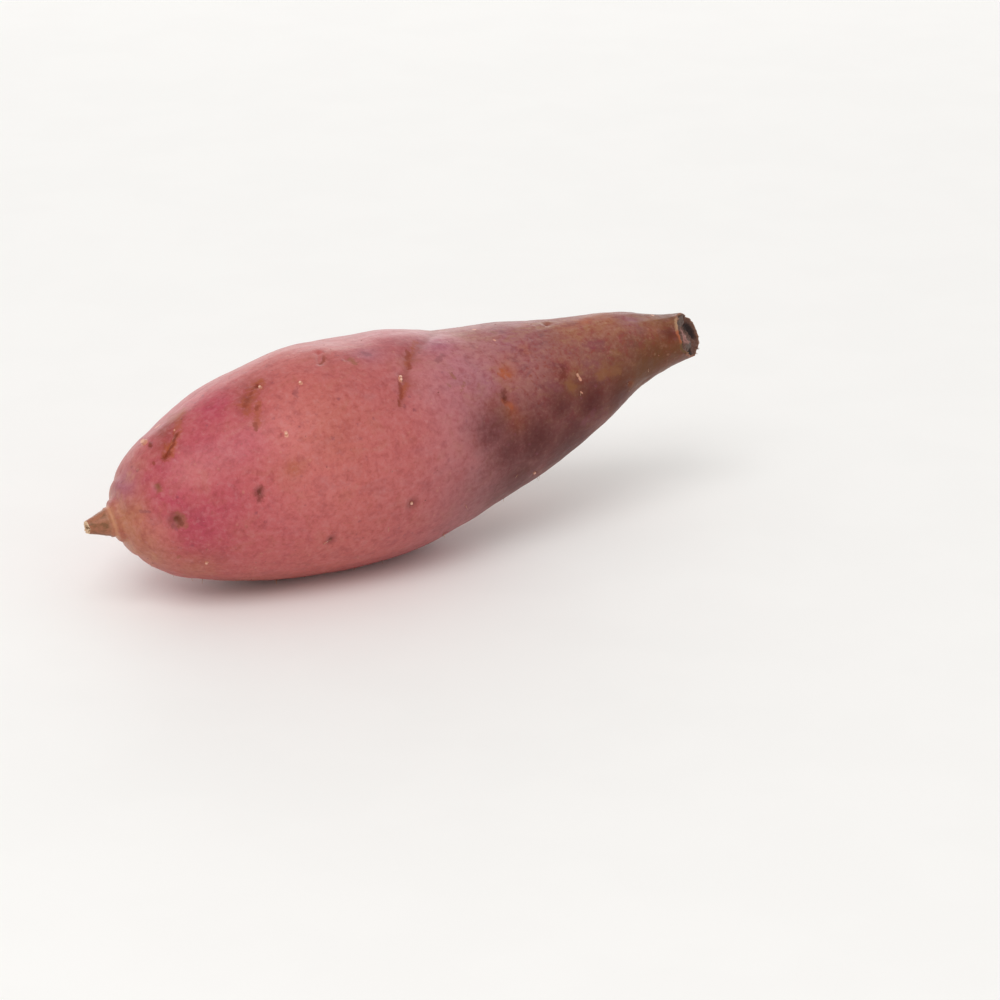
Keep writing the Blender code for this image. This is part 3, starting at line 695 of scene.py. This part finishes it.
def skinPaint():
    look, paint = skinLook, Paint("rootSkinPaint")
    noises = {name: paint.noise(*values) for name, values in look["noises"].items()}
    drift, mottle, fine, streak = (noises[name] for name in ("drift", "mottle", "fine", "streak"))
    along = paint.mask("along")
    neck = along.step(*look["neck"])
    strayed = along + (drift - 0.5) * look["groundDrift"] + (mottle - 0.5) * look["groundMottle"]
    colour = paint.ramp(strayed, root["length"], look["ground"])
    soft = drift * 0.7 + mottle * 1.1 + 0.1
    steady = (soft * 0.2 + 0.8) * (1 - fine.step(0.48, 0.75) * 0.16)
    covers = [(name, paint.mask(name) * soft * strength)
              for name, strength in look["patchCover"].items()]
    covers += [(name, noises[kind].step(start, full) * (strength + neck * more))
               for name, kind, start, full, strength, more in look["mottling"]]
    covers += [(name, paint.mask(name) * steady * strength)
               for name, strength in look["darkCover"].items()]

    def dots(size, place, ragged, reach, drawn):
        away, draw = paint.cells(size, place)
        return (away + (fine - 0.5) * ragged).step(*reach) * draw.step(*drawn)

    specks, pale = dots(*look["specks"]), dots(*look["paleDots"])
    lean = paint.mask("lean")
    fold = lean + (fine - 0.5) * 0.8
    # the pale dots fade under the painted shade of the neck
    covers += [("dusk", specks * 0.45), ("cream", pale * (1 - paint.mask("maroonShade") * 0.9) * 0.14),
               ("tailTone", (lean + (fine - 0.5) * 1.2).step(*look["tailEnd"]))]
    covers += [(name, fold.step(start, full) * fold.step(end, fading) * strength)
               for name, start, full, end, fading, strength in look["folds"]]
    # painted shade: the crease's floor is painted darker
    covers += [("crease", paint.mask("crease") * soft * 0.5),
               ("ring", paint.mask("ring").step(0.2, 0.9) * soft * 0.6),
               ("core", paint.mask("core").step(0.3, 0.9) * 0.7)]
    loose = (fine - 0.5) * 3 + (mottle - 0.5) * 1.5
    for name, strength, ragged in look["strokeCover"]:
        shown = (paint.mask(name + "Mark") + loose * ragged).step(1.3, 1.2 - ragged)
        covers.append((name + "Mark", shown * strength))
    covers.append(("rim", (paint.mask("rimEdge") + loose * 0.2).step(0.6, 1.0) * 0.8))
    tones = dict(
        look, bloom=paint.mix(look["bloom"], look["neckBloom"], neck),
        tailTone=paint.mix(look["tail"], look["tailDark"], (streak * 0.6 + fine * 0.4).step(0.42, 0.62)),
        rim=rimTone(paint, look["rimOrange"]),
    )
    colour = paint.lay(colour, tones, covers)

    rough = look["roughness"] + (mottle - 0.5) * 0.2 + (fine - 0.5) * 0.14
    pores = paint.noise(0.5, 2, 0.5, 4)
    under = paint.bump(streak * 0.5 + mottle * 0.5, 0.22, 0.7)
    over = paint.bump(fine * 0.6 + pores * 0.4 + specks * 0.4 + pale * 0.5, 0.10, 0.7, under)
    return paint.finish(colour, rough + paint.mask("core") * 0.2 + neck * 0.06, look["specular"], over)


snapLook = dict(
    # hollow is painted shade: near black in the snapped face's deepest hollows
    ground="684234", block="6a5850", blockPale="80706a", streak="a8766e", hollow="1e0806", crack="301a16",
    edge="8e6450", fibre="dcbc9c", pit="866446", roughness=0.78, specular=0.35,
)


def snapPaint():
    look, paint = snapLook, Paint("snapPaint")
    fine = paint.noise(0.8, 4, 0.65)
    broad = paint.noise(2.6, 3, 0.6, 5)
    share, deep = paint.mask("share"), paint.mask("deep")
    rim = rimTone(paint, look["edge"])
    tip = paint.mix(look["fibre"], look["pit"], (deep + (fine - 0.5) * 0.6).step(0.3, 0.7))
    colour = paint.lay(look["ground"], dict(look, rim=rim, tip=tip), [
        ("block", (paint.mask("block") + (fine - 0.5) * 0.8).step(0.2, 0.7)),
        ("blockPale", fine.step(0.52, 0.68) * 0.5),
        ("streak", (paint.mask("streak") + (broad - 0.5) * 0.8).step(0.25, 0.7) * 0.95),
        ("crack", fine.step(0.48, 0.34) * 0.7),
        # painted shade in the deepest hollows
        ("hollow", (deep + (fine - 0.5) * 0.5).step(0.2, 0.6) * 0.95),
        ("rim", (share + (fine - 0.5) * 0.14).step(0.9, 0.97)),
        ("tip", paint.mask("along").step(2.0, 1.0)),
    ])
    return paint.finish(colour, look["roughness"], look["specular"], paint.bump(fine, 0.25, 0.9))


for material in (skinPaint(), snapPaint()):
    rootSkin.data.materials.append(material)
print("paint: skin and snapped face")


# Geometry Nodes: short strands planted on points. Each point carries its aim, size and spin.
class Tree(Nodes):
    def __init__(self, name, **kinds):
        self.tree = bpy.data.node_groups.new(name, "GeometryNodeTree")
        face = self.tree.interface
        for way in ("INPUT", "OUTPUT"):
            face.new_socket("Geometry", in_out=way, socket_type="NodeSocketGeometry")
        for kind, keys in dict(kinds, Material="Material").items():
            for key in keys.split():
                face.new_socket(key, in_out="INPUT", socket_type="NodeSocket" + kind)
        outputs = self.tree.nodes.new("NodeGroupInput").outputs
        self.given = {socket.name: Wire(self, socket) for socket in outputs}

    def attribute(self, name, kind="FLOAT"):
        return self.make("GeometryNodeInputNamedAttribute", {"Name": name}, data_type=kind)

    def store(self, geometry, name, value, domain):
        sockets = {"Geometry": geometry, "Name": name, "Value": value}
        return self.make("GeometryNodeStoreNamedAttribute", sockets, data_type="FLOAT", domain=domain)

    def draw(self, seed, most=1.0):  # a random number from 0
        sockets = {3: most, "Seed": seed}
        return self.make("FunctionNodeRandomValue", sockets, 1, data_type="FLOAT")

    def turned(self, rotation, spin):
        spin = self.make("ShaderNodeCombineXYZ", {2: spin})
        return self.make("FunctionNodeRotateRotation", {0: rotation, 1: spin}, rotation_space="LOCAL")

    def plant(self, points, form, rotation, size, seed):  # forms on points, each with a shade of its own
        sockets = {"Points": points, "Instance": form, "Rotation": rotation, "Scale": size}
        planted = self.make("GeometryNodeInstanceOnPoints", sockets)
        planted = self.store(planted, "shade", self.draw(seed), "INSTANCE")
        whole = self.make("GeometryNodeRealizeInstances", {0: planted})
        smooth = self.make("GeometryNodeSetShadeSmooth", {"Geometry": whole})
        sockets = {"Geometry": smooth, "Material": self.given["Material"]}
        self.make("NodeGroupOutput", {0: self.make("GeometryNodeSetMaterial", sockets)})
        return self.tree


def strandTree():
    tree = Tree("strands", Float="Length Foot Tip Bend Sunk", Int="Sides Steps Seed")
    given, make = tree.given, tree.make
    start = make("ShaderNodeCombineXYZ", {2: given["Sunk"] * -1.0})
    middle = make("ShaderNodeCombineXYZ", {2: given["Length"] * 0.5})
    end = make("ShaderNodeCombineXYZ", {0: given["Bend"], 2: given["Length"]})
    path = make("GeometryNodeCurveQuadraticBezier",
                {"Resolution": given["Steps"], "Start": start, "Middle": middle, "End": end})
    share = make("GeometryNodeSplineParameter")
    wide = make("ShaderNodeMapRange", {"Value": share, "To Min": given["Foot"], "To Max": given["Tip"]})
    path = tree.store(path, "reach", share, "POINT")
    ring = make("GeometryNodeCurvePrimitiveCircle", {"Resolution": given["Sides"], "Radius": 1.0})
    strand = make("GeometryNodeCurveToMesh",
                  {"Curve": path, "Profile Curve": ring, "Scale": wide, "Fill Caps": True})
    aim = {"Vector": tree.attribute("aim", "FLOAT_VECTOR")}
    turn = tree.turned(make("FunctionNodeAlignRotationToVector", aim, axis="Z"), tree.attribute("spin"))
    return tree.plant(given["Geometry"], strand, turn, tree.attribute("size"), given["Seed"])


strands = strandTree()


def grow(name, tree, base, values, material):  # runs a tree on a mesh and keeps the plain result
    holder = addObject(name + "Base", base)
    modifier = holder.modifiers.new("grow", "NODES")
    modifier.node_group = tree
    names = {item.name: item.identifier for item in tree.interface.items_tree if item.in_out == "INPUT"}
    for key, value in dict(values, Material=material).items():
        modifier[names[key]] = value
    shown = holder.evaluated_get(bpy.context.evaluated_depsgraph_get())
    mesh = bpy.data.meshes.new_from_object(shown)
    mesh.name = name
    holder.modifiers.clear()
    bpy.data.objects.remove(holder)
    print(name + ":", triangles(mesh), "triangles")
    return addObject(name, mesh)


def rootletPaint(name, foot, body, tip):
    paint = Paint(name)
    fine = paint.noise(0.35, 3, 0.6)
    reach = paint.mask("reach")
    colour = paint.mix(foot, body, (reach + (fine - 0.5) * 0.3).step(0.1, 0.5))
    colour = paint.mix(colour, tip, (reach + (fine - 0.5) * 0.2).step(0.7, 0.95))
    colour = paint.mix(colour, foot, paint.mask("shade") * 0.2)
    return paint.finish(colour, 0.75, 0.4, paint.bump(fine, 0.08, 0.8))


def fits(point, aim, size, values):  # whether a strand stays inside the CAD's box
    end = point + aim * size * values["Length"] / mm
    spare = size * values["Bend"] / mm
    return (end - spare > boxLow).all() and (end + spare < boxHigh).all()


def growStrands(name, rows, values, material):  # rows of (point, aim, size, spin)
    points, aims, sizes, spins = zip(*[row for row in rows if fits(*row[:3], values)])
    mesh = bpy.data.meshes.new(name + "Points")
    mesh.from_pydata((np.array(points) * mm).tolist(), [], [])
    aims = np.array(aims, np.float32).ravel()
    mesh.attributes.new("aim", "FLOAT_VECTOR", "POINT").data.foreach_set("vector", aims)
    for key, numbers in (("size", sizes), ("spin", spins)):
        numbers = np.array(numbers, np.float32)
        mesh.attributes.new(key, "FLOAT", "POINT").data.foreach_set("value", numbers)
    return grow(name, strands, mesh, values, material)


def wander(draw):
    return np.array([draw.uniform(-1, 1) for _ in range(3)])


def plant(name, places, values, material, seed, lean, loose):  # strands on the skin, leaning to the tail
    draw = random.Random(seed)
    rows = []
    for along, around, size in places:
        point, out = onSkin(along, around)
        aim = unit(out + np.array([-lean, 0, 0]) + loose * wander(draw))
        rows.append((point, aim, size, draw.uniform(0, 2 * math.pi)))
    return growStrands(name, rows, values, material)


# Broken rootlets: thick pale nubs, then thin hairs. Each is (along, around, share of the full length).
stubs = dict(
    front=[(52, 13.8, 0.85), (61.8, 22.6, 0.8), (51.2, 47.5, 0.8), (25.5, 123, 0.8), (21, 351.5, 1.6),
           (89.8, 33.2, 1.0), (89.4, 34.8, 0.9), (127.0, 126, 0.9), (82.0, 100, 0.9)],
    values=dict(Length=0.6 * mm, Foot=0.62 * mm, Tip=0.42 * mm, Bend=0.06 * mm, Sunk=0.7 * mm,
                Sides=9, Steps=5, Seed=3),
    seed=5,
)
stubPlaces = stubs["front"] + [(at, side, stub / 1.4) for at, side, _, _, stub in farEyes if stub]
rootletStubs = plant("rootletStubs", stubPlaces, stubs["values"],
                     rootletPaint("stubPaint", "c4826a", "dc9f86", "e8b59f"), stubs["seed"], 0.25, 0.1)

hairs = dict(
    front=[(143.3, 64.5, 0.7), (142.8, 77, 0.5), (89.4, 34.5, 0.7), (109.7, 69, 0.4), (118.2, 62, 0.5),
           (39.7, 75, 0.4), (58, 113, 0.7), (97, 139, 0.9), (160, 101, 0.6)],
    perEye=2, lastSide=300, loose=64,
    values=dict(Length=2.6 * mm, Foot=0.13 * mm, Tip=0.05 * mm, Bend=0.8 * mm, Sunk=0.3 * mm,
                Sides=5, Steps=7, Seed=8),
    seed=12,
)


def hairPlaces():
    draw = random.Random(hairs["seed"])
    places = list(hairs["front"])
    for at, side, width, _, _ in farEyes:
        for _ in range(draw.randint(0, hairs["perEye"] if side < hairs["lastSide"] else 0)):
            along, around = at + draw.uniform(-0.4, 0.4) * width, side + draw.uniform(-2, 2)
            places.append((along, around, draw.uniform(0.35, 1.1)))
    for _ in range(hairs["loose"]):
        places.append((draw.uniform(14, 180), draw.uniform(105, 295), draw.uniform(0.25, 0.7)))
    return places


rootHairs = plant("rootHairs", hairPlaces(), hairs["values"],
                  rootletPaint("hairPaint", "a06c4c", "cda282", "e2c8ac"), hairs["seed"], 0.6, 0.9)


# Splinters that stand out of the snapped neck and the broken tail, near the given sides of its end
snapSplinterLook = dict(
    count=14, sides=[(200, 35)], reach=(0.9, 0.98), seed=17,
    values=dict(Length=0.55 * mm, Foot=0.22 * mm, Tip=0.06 * mm, Bend=0.1 * mm, Sunk=0.8 * mm,
                Sides=5, Steps=4, Seed=21),
)
tailSplinterLook = dict(
    count=60, sides=[(5, 38), (178, 38)], reach=(0.5, 1.02), seed=18,
    values=dict(Length=0.62 * mm, Foot=0.2 * mm, Tip=0.06 * mm, Bend=0.1 * mm, Sunk=0.7 * mm,
                Sides=5, Steps=4, Seed=22),
)


def splinters(name, along, aim, look, material):
    draw = random.Random(look["seed"])
    centre = smoothForm(np.full(36, float(along)), np.arange(36) * 10.0).mean(axis=0)
    rows = []
    for _ in range(look["count"]):
        side, share = draw.gauss(*draw.choice(look["sides"])), draw.uniform(*look["reach"])
        point = layDown(centre + share * (spot(along, side) - centre)) + shift
        aimed = unit(layDown(aim + 0.35 * wander(draw)))
        rows.append((point, aimed, draw.uniform(0.4, 1.0), draw.uniform(0, 2 * math.pi)))
    return growStrands(name, rows, look["values"], material)


snapSplinters = splinters("snapSplinters", root["length"], neckWay, snapSplinterLook,
                          rootletPaint("snapSplinterPaint", "4e3426", "8a5c40", "b08058"))
tailSplinters = splinters("tailSplinters", 0.0, np.array([-1.0, 0.0, 0.0]), tailSplinterLook,
                          rootletPaint("tailSplinterPaint", "a37a55", "d8b898", "e8ccac"))


# Lenticels: tiny corky lenses scattered over the skin
lenticelSpread = dict(Density=9000.0, Size=0.28 * mm, Rise=0.28, Seed=4)
lenticelLook = dict(
    lowest=0.5 * mm, width=0.72, sizes=(0.35, 1.25), sizePower=2.2, sizeSeed=77, shadeSeed=78,
    ground="8a4a44", pale="aa6860", palest="c08c7c", roughness=0.7, specular=0.5,
)


def lenticelTree():
    look, tree = lenticelLook, Tree("lenticels", Float="Density Size Rise", Int="Seed")
    given, make, maths = tree.given, tree.make, tree.maths
    # no lenticels on the broken edge, in the eyes' cores or under the painted shade of the neck
    lensless = maths("MAXIMUM", tree.attribute("rimEdge"), tree.attribute("core"))
    lensless = maths("MAXIMUM", lensless, tree.attribute("maroonShade") * 1.5)
    clear = maths("MAXIMUM", 0.0, 1.0 - lensless)
    height = make("ShaderNodeSeparateXYZ", {0: make("GeometryNodeInputPosition")}, 2)
    whole = maths("GREATER_THAN", tree.attribute("share"), 0.999)
    whole = whole * maths("GREATER_THAN", height, look["lowest"])
    density = clear * whole * given["Density"]
    sockets = {"Mesh": given["Geometry"], "Density": density, "Seed": given["Seed"]}
    points = make("GeometryNodeDistributePointsOnFaces", sockets, "Points")
    lens = make("GeometryNodeMeshUVSphere", {"Segments": 8, "Rings": 5, "Radius": given["Size"]})
    flat = make("ShaderNodeCombineXYZ", {0: 1.0, 1: look["width"], 2: given["Rise"]})
    lens = make("GeometryNodeTransform", {"Geometry": lens, "Scale": flat})
    turn = tree.turned(points.other("Rotation"), tree.draw(given["Seed"], 6.283))
    drawn = maths("POWER", tree.draw(look["sizeSeed"]), look["sizePower"])
    small, large = look["sizes"]
    size = make("ShaderNodeMapRange", {"Value": drawn, "To Min": small, "To Max": large})
    return tree.plant(points, lens, turn, size, look["shadeSeed"])


def lenticelPaint():
    look, paint = lenticelLook, Paint("lenticelPaint")
    fine = paint.noise(0.5, 3, 0.6)
    shade = paint.mask("shade")
    colour = paint.lay(look["ground"], look, [
        ("pale", shade.step(0.3, 0.5)), ("palest", shade.step(0.86, 0.95)),
        ("ground", fine.step(0.5, 0.7) * 0.6),
    ])
    return paint.finish(colour, look["roughness"], look["specular"], paint.bump(fine, 0.06, 0.7))


skinCopy = rootSkin.data.copy()
skinCopy.materials.clear()
lenticels = grow("lenticels", lenticelTree(), skinCopy, lenticelSpread, lenticelPaint())

pieces = [rootSkin, rootletStubs, rootHairs, snapSplinters, tailSplinters, lenticels]
for piece in pieces:
    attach(piece, "root")
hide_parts("sweet_potato")


# Floor, light and camera
studio = dict(
    floorRadius=4.0, floorTone=tint("f8f7f5"), grain=0.992,
    worldTone=(1.0, 0.99, 0.975, 1.0), worldStrength=0.66,
    lights=[  # name, place, aim, width and height in metres, watts
        ("behind", (0.73, 1.19, 0.36), (0.0, 0.0, 0.2), 2.4, 0.62, 7.5),
        ("upperLeft", (-0.7, -0.55, 1.3), (0.0, 0.0, 0.03), 1.0, 1.0, 9.0),
    ],
)
camera = dict(
    elevation=22.0, yaw=31.5, distance=1.18, lens=150.0,
    aim=(34.10, -0.11, 5.45),  # millimetres, so that the root stands in the frame as in the photograph
)


def plainPaint(name, tone, roughness):
    paint = Paint(name)
    grain = paint.noise(40.0, 2)
    colour = paint.mix(tone, tuple(studio["grain"] * c for c in tone[:3]) + (1.0,), grain.step(0.4, 0.6))
    return paint.finish(colour, roughness, 0.2)


def aimAt(piece, place, target):
    piece.location = place
    piece.rotation_euler = (Vector(target) - Vector(place)).to_track_quat("-Z", "Y").to_euler()


def buildStudio():
    bm = bmesh.new()
    bmesh.ops.create_circle(bm, cap_ends=True, segments=96, radius=studio["floorRadius"])
    mesh = bpy.data.meshes.new("floor")
    bm.to_mesh(mesh)
    bm.free()
    floor = addObject("floor", mesh)
    mesh.materials.append(plainPaint("floorPaint", studio["floorTone"], 0.6))
    for name, place, target, wide, high, watts in studio["lights"]:
        light = bpy.data.lights.new(name, "AREA")
        light.shape, light.size, light.size_y, light.energy = "RECTANGLE", wide, high, watts
        aimAt(addObject(name, light), place, target)
    world = bpy.data.worlds.new("studio")
    world.use_nodes = True
    sky = world.node_tree.nodes["Background"]
    sky.inputs["Color"].default_value = studio["worldTone"]
    sky.inputs["Strength"].default_value = studio["worldStrength"]
    bpy.context.scene.world = world
    bpy.context.scene.view_settings.view_transform = "Standard"


def placeCamera():
    high, yaw = math.radians(camera["elevation"]), math.radians(camera["yaw"])
    back = Vector((-math.sin(yaw) * math.cos(high), -math.cos(yaw) * math.cos(high), math.sin(high)))
    aim = Vector(camera["aim"]) * mm
    data = bpy.data.cameras.new("camera")
    data.lens, data.sensor_width, data.clip_start = camera["lens"], 36.0, 0.01
    holder = addObject("camera", data)
    aimAt(holder, aim + back * camera["distance"], aim)
    bpy.context.scene.camera = holder


buildStudio()
placeCamera()
print("studio: floor, lights and camera")
